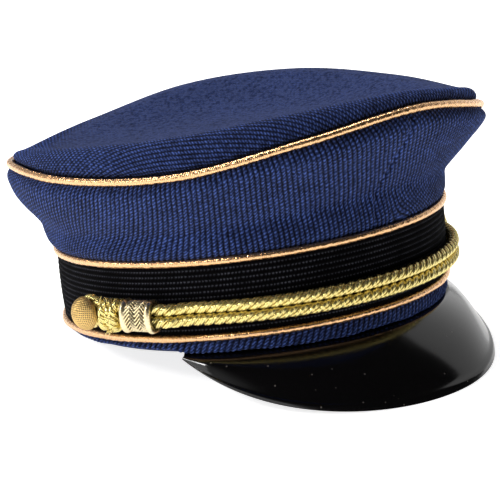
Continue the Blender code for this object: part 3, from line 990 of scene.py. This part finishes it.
def make_hem():
    angle = once_round(HEM_RIBS * 6)
    spot = station(angle)
    high = spot.foot_z - HIDDEN
    rings = []
    low = hem_edge(angle)
    for swing in np.radians(np.linspace(0, 90, 5)):
        out = -HEM_ROUND + HEM_ROUND * math.sin(swing)
        height = low + HEM_ROUND * (1 - math.cos(swing))
        rings.append(at(spot.foot, spot.normal, np.full_like(angle, out), height))
    for share in np.linspace(0, 1, 9)[1:]:
        height = low + HEM_ROUND + share * (high - low - HEM_ROUND)
        tuck = TUCK * np.exp(-(high - height) / 0.2)
        rings.append(at(spot.foot, spot.normal, -tuck, height))
    plain = np.array(rings)
    up = lengths_up(plain)
    number = HEM_RIBS * angle[None, :] / 360 + HEM_LEAN * up / HEM_FRONT
    ribs = ((rib_height(number) - 1) * HEM_RIB_DEEP)[..., None]
    outside = plain + normals(plain) * ribs
    inner = np.full_like(angle, -WALL)
    inside = [at(spot.foot, spot.normal, inner, high), at(spot.foot, spot.normal, inner, 0 * high)]
    points = np.concatenate([outside, np.array(inside)])
    stitches = lengths_up(points) / STITCH
    numbers = np.concatenate([number, np.repeat(number[-1:], 2, 0)])
    walls = [patch(points, np.stack([numbers, stitches], -1), turn=(HEM_RIBS, 0))]
    build("hem_cloth", walls, blue_twill, ["hem"])


make_hem()

# %% [markdown]
# ## The band
#
# Thirteen cords of black braid lie side by side round the band. Each is a low round ridge
# in the mesh.

# %% Make the band
BRAID_CORDS = 13
ROWS_PER_CORD = 6
CORD_RELIEF = 0.13
DASHES = 340                        # stitches round the band


def make_band():
    angle = once_round(480)
    spot = station(angle)
    low, high = spot.foot_z + HIDDEN, spot.top_z - HIDDEN
    rings, cords = [], []
    for share in np.linspace(0, 1, BRAID_CORDS * ROWS_PER_CORD + 1):
        ridge = abs(math.sin(math.pi * BRAID_CORDS * share)) ** 0.7
        bulge = BAND_BULGE * 4 * share * (1 - share)
        out = bulge - CORD_RELIEF * (1 - ridge)
        base = spot.foot + (spot.top - spot.foot) * share
        rings.append(at(base, spot.normal, np.full_like(angle, out), low + share * (high - low)))
        cords.append(BRAID_CORDS * share)
    for share in (1.0, 0.0):
        base = spot.foot + (spot.top - spot.foot) * share
        rings.append(
            at(base, spot.normal, np.full_like(angle, -WALL), low + share * (high - low))
        )
        cords.append(BRAID_CORDS * share)
    points = np.array(rings)
    weave = woven(angle / 360 * DASHES, np.array(cords)[:, None])
    walls = [patch(points, weave, turn=(DASHES, 0))]
    build("band_braid", walls, black_braid, ["band"])


make_band()

# %% [markdown]
# ## Round things: a sweep
#
# Pipings, cords, plies and loose threads are all tubes along a path. A sweep needs a
# direction to start each ring from, and for a cap there is a good one everywhere: outwards.

# %% The sweep


def frames(path, outwards, loop):
    """Two directions square to a path at each of its points, the first of them outwards."""
    if loop:
        along = np.roll(path, -1, 0) - np.roll(path, 1, 0)
    else:
        along = np.gradient(path, axis=0)
    along = unit(along)
    across = unit(outwards - along * np.einsum("ij,ij->i", outwards, along)[:, None])
    return across, np.cross(along, across)


def sweep(path, radius, sides, outwards, loop, waves=None):
    """Rings round a path. waves, if given, changes the radius by turn and place."""
    across, other = frames(path, outwards, loop)
    turn = once_round(sides, TAU)
    radii = np.broadcast_to(np.asarray(radius, float), len(path))[:, None] * np.ones(sides)
    if waves is not None:
        radii = radii + waves(turn[None, :], np.arange(len(path))[:, None])
    spokes = across[:, None] * (radii * np.cos(turn))[..., None]
    spokes += other[:, None] * (radii * np.sin(turn))[..., None]
    return path[:, None] + spokes


def path_lengths(path, loop):
    ends = np.concatenate([path, path[:1]]) if loop else path
    return np.concatenate([[0], np.cumsum(np.linalg.norm(np.diff(ends, axis=0), axis=1))])


def evenly(path, step):
    """A closed path with its points evenly spaced, on a smooth curve through the old ones."""
    count = 8 * len(path)
    fine = np.stack([around(path[:, k], once_round(count)) for k in range(3)], -1)
    length = path_lengths(fine, True)
    places = np.linspace(0, length[-1], round(length[-1] / step), endpoint=False)
    closed = np.concatenate([fine, fine[:1]])
    return np.stack([np.interp(places, length, closed[:, k]) for k in range(3)], -1)


# %% [markdown]
# ## The pipings
#
# A piping is a cord wrapped in gold thread and caught in a seam. The wrapping is a helix of
# fine ridges, so the tube's radius rises and falls with it.

# %% Make the pipings
PIPING_SEEN = 0.335                 # the radius left once the seam has gripped it
PIPING_THREADS = 4                  # wrapped side by side
PIPING_PITCH = 0.30                 # from ridge to ridge along the piping
PIPING_RIDGE = 0.009
PIPING_WOBBLE = 0.012
PIPING_SIDES = 12
THREAD_PITCH = 0.16                 # from thread to thread in the finish


def make_piping(name, stands_for, ring):
    """A piping along one of the cap's rings: its foot, top or rim."""
    spot = station(once_round(1400))
    height = getattr(spot, f"{ring}_z")
    path = at(getattr(spot, ring), spot.normal, 0 * height, height)
    length = path_lengths(path, True)
    ridges = round(length[-1] / PIPING_PITCH)
    lag = length[:-1] / length[-1] * ridges

    def wrapping(turn, row):
        wave = np.cos(turn * PIPING_THREADS / 2 + lag[row] * TAU)
        slow = np.cos(turn + lag[row] * TAU / 3) + np.cos(lag[row] * TAU / 17)
        return PIPING_RIDGE * (wave - 1) + PIPING_WOBBLE * slow

    rings = sweep(path, PIPING_SEEN, PIPING_SIDES, spot.normal, True, wrapping)
    weave = woven(once_round(PIPING_SIDES, 1), (length[:-1] / THREAD_PITCH)[:, None])
    build(name, [patch(rings, weave, turn=(1, 0))], gold_piping, [stands_for])


for name, stands_for, ring in (
    ("lower_piping_cord", "band_lower_piping", "foot"),
    ("upper_piping_cord", "band_upper_piping", "top"),
    ("crown_piping_cord", "crown_piping", "rim"),
):
    make_piping(name, stands_for, ring)

# %% [markdown]
# ## The chin cord
#
# One endless cord: along the front in an upper strand, round the shank of a button, and back
# in a lower strand. It is laid up from three plies, each a helix round the cord's path.

# %% The chin cord's route
CORD_RADIUS, CORD_SPACING, CORD_SLACK = 0.4, 1.04, 0.15
CORD_FRONT, CORD_REAR = 2.15, 2.7
SLIDER_ANGLE, SLIDER_LONG, SLIDER_TALL, SLIDER_DEEP, SLIDER_RIM = 75.4, 3.0, 2.6, 2.0, 0.12
BORE_CLEARANCE = 0.15
KNOT_ANGLE, KNOT_LONG, KNOT_TALL, KNOT_DEEP = 84.8, 2.0, 2.9, 2.1
BUTTON_ANGLE, BUTTON_WIDE, BUTTON_DEEP, SHANK_RADIUS = 93.4, 2.9, 1.3, 0.4
CORD_OUT = BAND_BULGE + GAP + CORD_RADIUS
METAL_OUT = BAND_BULGE + GAP + max(SLIDER_DEEP / 2 + SLIDER_RIM, KNOT_DEEP / 2)
TURN_RADIUS = SHANK_RADIUS + 1.5 * GAP + CORD_RADIUS
TURN_OUT = METAL_OUT - 0.6 * CORD_RADIUS
DOME_OUT = METAL_OUT + CORD_RADIUS


def on_band(angle, out, height):
    """Points in front of the band: out from its face, above the cord's middle line."""
    spot = station(angle)
    raised = between(CORD_FRONT, CORD_REAR, angle) + np.asarray(height, float)
    share = raised / (spot.top_z - spot.foot_z)
    base = spot.foot + (spot.top - spot.foot) * share[..., None]
    return at(base, spot.normal, out, spot.foot_z + raised)


def band_step(length):
    return math.degrees(length / (BAND_LONG / 2))


def slack_out(angle):
    return CORD_OUT + CORD_SLACK * float(ease(1.4 * (1 - angle / SLIDER_ANGLE)))


def cord_half(side):
    """The loop from the middle of the front round one button and back."""
    metal_start = SLIDER_ANGLE - band_step(SLIDER_LONG / 2 + 2 * CORD_RADIUS)
    knot_end = KNOT_ANGLE + band_step(KNOT_LONG / 2)
    lead = band_step(4 * CORD_RADIUS)
    way = []
    for k in range(1, 21):
        angle = metal_start * k / 20
        rise = float(ease((angle - metal_start + lead) / lead))
        out = slack_out(angle)
        way.append((angle, out + (METAL_OUT - out) * rise, CORD_SPACING / 2))
    for angle in (SLIDER_ANGLE - 3, SLIDER_ANGLE, SLIDER_ANGLE + 4, KNOT_ANGLE):
        way.append((angle, METAL_OUT, CORD_SPACING / 2))
    way.append((knot_end, METAL_OUT - BORE_CLEARANCE / 2, CORD_SPACING / 2))
    for degrees in (110, 70, 35, 0):
        swing = math.radians(degrees)
        angle = BUTTON_ANGLE + band_step(TURN_RADIUS * math.cos(swing))
        way.append((angle, TURN_OUT, TURN_RADIUS * math.sin(swing)))
    way += [(angle, out, -height) for angle, out, height in way[-2::-1]]
    angle, out, height = np.array(way).T
    return on_band(side * angle, out, height)


right, left = cord_half(1), cord_half(-1)
middle = on_band(np.zeros(2), np.full(2, slack_out(0)), np.array([-0.5, 0.5]) * CORD_SPACING)
cord_path = evenly(np.concatenate([right, middle[:1], left[::-1], middle[1:]]), 0.1)
print(f"chin cord: {path_lengths(cord_path, True)[-1]:.1f} mm round")

# %% Laid cord
CORD_PLIES = 3
CORD_LAY = 2.7                      # along the cord for one turn of a ply
PLY_RADIUS = 0.28
PLY_OFF = 0.255                     # from the cord's middle to a ply's
PLY_THREADS = 6                     # seen as grooves round a ply
THREAD_TURNS = 3                    # of those threads round the ply, in one turn of the ply
PLY_GROOVE = 0.05


def laid_cord(path, outwards, turns, radius, off, sides=26):
    """The plies of a closed cord, as patches. Each has its own threads, as grooves."""
    across, other = frames(path, outwards, True)
    length = path_lengths(path, True)
    place = length[:-1] / length[-1] * turns

    def grooves(turn, row):
        twist = turn * PLY_THREADS + place[row] * THREAD_TURNS * TAU
        return -PLY_GROOVE * (0.5 + 0.5 * np.cos(twist))

    plies = []
    for ply in range(CORD_PLIES):
        phase = (place + ply / CORD_PLIES) * TAU
        swing = across * np.cos(phase)[:, None] - other * np.sin(phase)[:, None]
        rings = sweep(path + swing * off, radius, sides, swing, True, grooves)
        weave = woven(once_round(sides, PLY_THREADS), (place * THREAD_TURNS)[:, None])
        plies.append(patch(rings, weave, turn=(PLY_THREADS, 0)))
    return plies


# %% Make the chin cord
def make_chin_cord():
    angle = np.degrees(np.arctan2(-cord_path[:, 0] / BAND_WIDE, -cord_path[:, 1] / BAND_LONG))
    out = outward(BAND_WIDE, BAND_LONG, angle)
    turns = round(path_lengths(cord_path, True)[-1] / CORD_LAY)
    plies = laid_cord(cord_path, out, turns, PLY_RADIUS, PLY_OFF)
    build("chin_cord_strands", plies, gold_cord, ["chin_cord"])


make_chin_cord()

# %% [markdown]
# ## The sliders
#
# A slider is a short pressed barrel that both strands run through. Its outside is pressed in
# a herringbone between two rolled rims.

# %% Make the sliders
HERRINGBONE_COLUMNS = 4
HERRINGBONE_PITCH = 0.30
HERRINGBONE_DEEP = 0.19
BORE_DEEP = CORD_RADIUS + BORE_CLEARANCE + 0.07
BORE_TALL = CORD_SPACING / 2 + CORD_RADIUS + BORE_CLEARANCE


def local_axes(angle, away=METAL_OUT):
    """A place off the band at an angle, and the directions out, up and along there."""
    spot = station(np.array([angle]))
    middle = on_band(np.array([angle]), np.array([away]), np.zeros(1))[0]
    up = np.array([0.0, 0.0, 1.0])
    out = spot.normal[0]
    return middle, out, up, np.cross(up, out)


def rounded(turn, deep, tall, square=2.6):
    """A point of a rounded rectangle's outline."""
    c, s = np.cos(turn), np.sin(turn)
    grow = (np.abs(c) ** square + np.abs(s) ** square) ** (-1 / square)
    return deep * c * grow, tall * s * grow


def make_slider(hand, side):
    middle, out, up, along = local_axes(side * SLIDER_ANGLE)
    sides = 120
    turn = once_round(sides, TAU)
    rows, reliefs = [], []
    rim = 4 * SLIDER_RIM
    for place in np.linspace(-SLIDER_LONG / 2, SLIDER_LONG / 2, 64):
        from_end = SLIDER_LONG / 2 - abs(place)
        bead = SLIDER_RIM * math.sin(math.pi * min(1.0, from_end / rim)) if from_end < rim else 0
        deep, tall = rounded(turn, SLIDER_DEEP / 2, SLIDER_TALL / 2)
        girth = turn / TAU * math.pi * (SLIDER_DEEP + SLIDER_TALL) / 2
        column = (place / (SLIDER_LONG - 2 * rim) + 0.5) * HERRINGBONE_COLUMNS
        zigzag = abs(column % 2 - 1)
        wave = np.sin((girth + zigzag * 0.5) / HERRINGBONE_PITCH * TAU)
        relief = 0.5 + 0.5 * np.tanh(2 * wave)
        inside = float(ease((from_end - rim) / 0.08))
        relief = relief * inside + (1 - inside)
        sunk = bead - HERRINGBONE_DEEP * (1 - relief)
        grow_deep = 1 + sunk / (SLIDER_DEEP / 2)
        grow_tall = 1 + sunk / (SLIDER_TALL / 2)
        ring = middle + along * place + np.outer(deep * grow_deep, out) + np.outer(tall * grow_tall, up)
        rows.append(ring)
        reliefs.append(relief)
    for place in (SLIDER_LONG / 2, -SLIDER_LONG / 2):
        deep, tall = rounded(turn, BORE_DEEP, BORE_TALL, 2.0)
        rows.append(middle + along * place + np.outer(deep, out) + np.outer(tall, up))
        reliefs.append(np.full(sides, 0.2))
    skin = [patch(np.array(rows), woven(turn, np.array(reliefs)))]
    build(f"slider_{hand}_pressed", skin, slider_gilt, [f"slider_{hand}"])


# %% [markdown]
# ## The buttons
#
# A button is a dome on a shank. Its face is pressed with rows of small square pits, like a
# fine basket.

# %% Make the buttons
PIT_PITCH, PIT_DEEP = 0.20, 0.06


def make_button(hand, side):
    middle, out, up, along = local_axes(side * BUTTON_ANGLE, 0.0)
    radius = BUTTON_WIDE / 2
    sides = 200
    turn = once_round(sides, TAU)
    profile = [(BAND_BULGE + GAP, SHANK_RADIUS), (DOME_OUT - 0.05, SHANK_RADIUS)]
    profile += [(DOME_OUT, 0.8 * radius), (DOME_OUT + 0.05 * BUTTON_DEEP, 0.93 * radius)]
    rows, reliefs = [], []
    for height, wide in profile:
        rows.append((np.full(sides, height), np.full(sides, wide)))
        reliefs.append(np.full(sides, 0.5))
    for swing in np.radians(np.linspace(0, 89.5, 64)):
        height = DOME_OUT + BUTTON_DEEP * (0.12 + 0.88 * math.sin(swing))
        wide = radius * math.cos(swing)
        from_pole = radius * (math.pi / 2 - swing) * math.pi / PIT_PITCH
        pits = np.sin(from_pole * np.cos(turn)) * np.sin(from_pole * np.sin(turn))
        pits = np.sqrt(np.abs(pits))
        rows.append((height - PIT_DEEP * pits, wide - PIT_DEEP * pits * math.cos(swing)))
        reliefs.append(1 - 0.8 * pits)
    rings = []
    for height, wide in rows:
        spoke = np.outer(np.cos(turn), along) + np.outer(np.sin(turn), up)
        rings.append(middle + np.outer(height, out) + spoke * wide[:, None])
    skin = [patch(np.array(rings), woven(turn, np.array(reliefs)), ends="capped")]
    build(f"button_{hand}_pressed", skin, button_gilt, [f"button_{hand}"])


# %% [markdown]
# ## The knots
#
# Behind each slider the cord's ends are bound round both strands: three turns of cord, laid
# a little askew, with the cut ends fraying out above and below.

# %% Make the knots
KnotTurn = namedtuple("KnotTurn", "place tilt girth")
KNOT_TURNS = (
    KnotTurn(place=-0.62, tilt=0.26, girth=1.00),
    KnotTurn(place=-0.02, tilt=-0.14, girth=0.90),
    KnotTurn(place=0.58, tilt=0.20, girth=1.04),
)
KNOT_PLY_RADIUS, KNOT_PLY_OFF = 0.24, 0.20


def knot_turn(axes, place, tilt, girth):
    """The middle line of one turn of cord round the knot, and the directions out of it."""
    middle, out, up, along = axes
    turn = once_round(90, TAU)
    thick = KNOT_PLY_RADIUS + KNOT_PLY_OFF
    c, s = rounded(turn, KNOT_DEEP / 2 * girth - thick, KNOT_TALL / 2 * girth - thick, 2.3)
    wander = place + tilt * s + 0.07 * np.sin(3 * turn + place * 5)
    centre = middle + np.outer(c, out) + np.outer(s, up) + np.outer(wander, along)
    return centre, unit(np.outer(c, out) + np.outer(s, up))


def make_knot(hand, side):
    axes = local_axes(side * KNOT_ANGLE)
    patches = []
    for row in KNOT_TURNS:
        centre, away = knot_turn(axes, side * row.place, side * row.tilt, row.girth)
        patches += laid_cord(centre, away, 3, KNOT_PLY_RADIUS, KNOT_PLY_OFF, sides=20)
    patches += frayed_ends(axes, side)
    name = f"cord_knot_{hand}"
    build(f"{name}_bound", patches, gold_cord, [name])


# %% Frayed threads
FRAY_THREADS = 26
THREAD_RADIUS = 0.045


def frayed_ends(axes, side):
    """Short loose threads, standing out of the knot above and below."""
    middle, out, up, along = axes
    random = np.random.default_rng(7)
    patches = []
    for k in range(FRAY_THREADS):
        above = 1 if k % 2 else -1
        start = middle + up * (above * random.uniform(0.85, 1.2))
        start = start + out * random.uniform(0.2, 0.9) + along * random.uniform(-0.8, 0.8)
        heading = up * above * random.uniform(0.3, 1.0) + out * random.uniform(0.0, 0.5)
        heading = heading + along * random.uniform(-0.7, 0.7)
        length = random.uniform(0.35, 0.7)
        bend = unit(random.normal(size=3)) * 0.2
        share = np.linspace(0, 1, 6)[:, None]
        path = start + unit(heading) * length * share + bend * share**2 * length
        rings = sweep(path, THREAD_RADIUS * (1 - 0.4 * share[:, 0]), 5, np.tile(out, (6, 1)), False)
        patches.append(patch(rings, ends="capped"))
    return patches


for hand, side in (("right", 1), ("left", -1)):
    make_slider(hand, side)
    make_button(hand, side)
    make_knot(hand, side)

# %% [markdown]
# ## The peak
#
# The peak is lacquered card with a small raised bead just inside its edge. Its outline comes
# from two cosines, one for how far it reaches out and one for how far it drops.

# %% The peak's shape
PEAK_HALF_ANGLE = 65.8
PEAK_REACH, PEAK_DROP, PEAK_END = 5.36, 5.52, 0.3
PEAK_FAN, PEAK_REACH_ROUND, PEAK_DROP_ROUND, PEAK_FLAT = 0.5, 1.17, 0.9, 1.08
PEAK_THICK, PEAK_CROWNING, BEAD_TALL = 0.8, 0.45, 0.14
FLANGE_TALL, FLANGE_THICK = 1.2, 0.5
CROWNING_KNOTS = (0.0, 0.22, 0.48, 0.74, 0.88, 0.94, 1.0)
CROWNING = (0.0, 0.64, 1.00, 0.73, 0.37, 0.19, 0.0)
BEAD_AT, BEAD_WIDE = 0.94, 0.045


def peak_section(angle):
    place = abs(angle) / PEAK_HALF_ANGLE
    quarter = math.pi / 2
    reach_share = max(0.0, math.cos(quarter * place)) ** PEAK_REACH_ROUND
    drop_share = max(0.0, math.cos(quarter * place**PEAK_FLAT)) ** PEAK_DROP_ROUND
    reach = PEAK_END + (PEAK_REACH - PEAK_END) * reach_share
    drop = PEAK_END + (PEAK_DROP - PEAK_END) * drop_share
    full = min(1.0, drop / (2 * PEAK_THICK))
    slope = unit(np.array([reach, -drop]))
    square = np.array([-slope[1], slope[0]])
    root, tip = np.array([-0.05 * WALL, -GAP]), np.array([reach, -drop])
    thick = PEAK_THICK * full
    ways = np.concatenate([np.linspace(0.0, 0.84, 16)[1:], np.linspace(0.86, 0.985, 12)])
    inner = -WALL - GAP
    line = [(inner, FLANGE_TALL), (inner, -GAP), tuple(root)]
    for way in ways:
        rise = full * (PEAK_CROWNING * float(through(CROWNING_KNOTS, CROWNING, way)))
        rise += full * BEAD_TALL * float(hump(way, BEAD_AT, BEAD_WIDE))
        line.append(tuple(root + (tip - root) * way + square * rise))
    foot = tip + np.array([-thick, 0.2 * thick])
    for swing in np.radians(np.linspace(15, 165, 7)):
        share = (1 - math.cos(swing)) / 2
        line.append(tuple(tip + (foot - tip) * share + square * 0.1 * thick * math.sin(swing)))
    for way in (0.74, 0.48, 0.22):
        rise = full * PEAK_CROWNING * float(through(CROWNING_KNOTS, CROWNING, way)) - thick
        line.append(tuple(root + (tip - root) * way + square * rise))
    line += [(inner - FLANGE_THICK, -GAP - FLANGE_THICK), (inner - FLANGE_THICK, FLANGE_TALL)]
    return np.array(line)


# %% Make the peak
def make_peak():
    rings = []
    for angle in np.linspace(-PEAK_HALF_ANGLE, PEAK_HALF_ANGLE, 121):
        line = peak_section(angle)
        spot = station(np.array([angle]))
        square_out = spot.normal[0]
        fan = unit(square_out * (1 + PEAK_FAN) - np.array([0, -1, 0]) * PEAK_FAN)
        ring = [
            at(spot.foot[0], fan if out > 0 else square_out, np.array(out), height)
            for out, height in line
        ]
        rings.append(ring)
    skin = [patch(np.array(rings), ends="capped")]
    build("peak_lacquered", skin, black_lacquer, ["peak"], sharp=40)


make_peak()

# %% [markdown]
# ## Floor and light
#
# A light table in a pale room: the white floor glows a little, so the cap hardly has a
# shadow. The main light is nearly overhead, and the crown shades the peak from it. The peak
# mirrors the dark side of the room, and in it a broad softbox on the wearer's left.

# %% The floor
FLOOR_GLOW = 0.8


def make_floor():
    mesh = bpy.data.meshes.new("floor")
    far = 3.0
    corners = [(-far, -far, 0), (far, -far, 0), (far, far, 0), (-far, far, 0)]
    mesh.from_pydata(corners, [], [(0, 1, 2, 3)])
    material, _, _ = new_finish(
        "white table",
        Roughness=0.7,
        Specular_IOR_Level=0.2,
        Base_Color=(0.85, 0.85, 0.85, 1),
        Emission_Color=(1, 1, 1, 1),
        Emission_Strength=FLOOR_GLOW,
    )
    mesh.materials.append(material)
    floor = placed("floor", mesh)


make_floor()

# %% The light
Lamp = namedtuple("Lamp", "name azimuth height away size power")
LAMPS = (
    Lamp("overhead", 170, 74, 0.50, 0.24, 1.8),
    Lamp("left key", -112, 34, 0.50, 0.10, 0.85),
    Lamp("softbox", 100, 22, 0.50, 0.50, 0.43),
    Lamp("low fill", -118, 12, 0.50, 0.35, 0.40),
)
ROOM_BRIGHT, ROOM_DARK = 0.42, 0.03
BACKDROP = 0.85                     # how bright the room looks behind the cap
DARK_SIDE = (0.20, -0.58, 0.79)     # the direction of the middle of the dark side


def make_lamp(lamp):
    direction = toward(lamp.azimuth, lamp.height)
    data = bpy.data.lights.new(lamp.name, "AREA")
    data.shape, data.size, data.energy = "DISK", lamp.size, lamp.power
    light = placed(lamp.name, data)
    light.location = direction * lamp.away
    light.rotation_euler = direction.to_track_quat("Z", "Y").to_euler()


for lamp in LAMPS:
    make_lamp(lamp)


def make_room():
    world = bpy.data.worlds.new("pale room")
    bpy.context.scene.world = world
    world.use_nodes = True
    tree = world.node_tree
    feeds = {0: add(tree, "TexCoord").outputs["Generated"], 1: DARK_SIDE}
    facing = add(tree, "VectorMath", feeds, operation="DOT_PRODUCT").outputs["Value"]
    darker = {"least": ROOM_BRIGHT, "most": ROOM_DARK, "interpolation_type": "SMOOTHSTEP"}
    strength = spread(tree, facing, 0.0, 0.55, **darker)
    seen = add(tree, "LightPath").outputs["Is Camera Ray"]
    unseen = product(tree, strength, sums(tree, "SUBTRACT", 1.0, seen))
    sky = tree.nodes["Background"]
    sky.inputs["Color"].default_value = (1.0, 1.0, 1.0, 1)
    tree.links.new(scaled(tree, seen, BACKDROP, unseen), sky.inputs["Strength"])


make_room()
bpy.context.scene.view_settings.view_transform = "Standard"
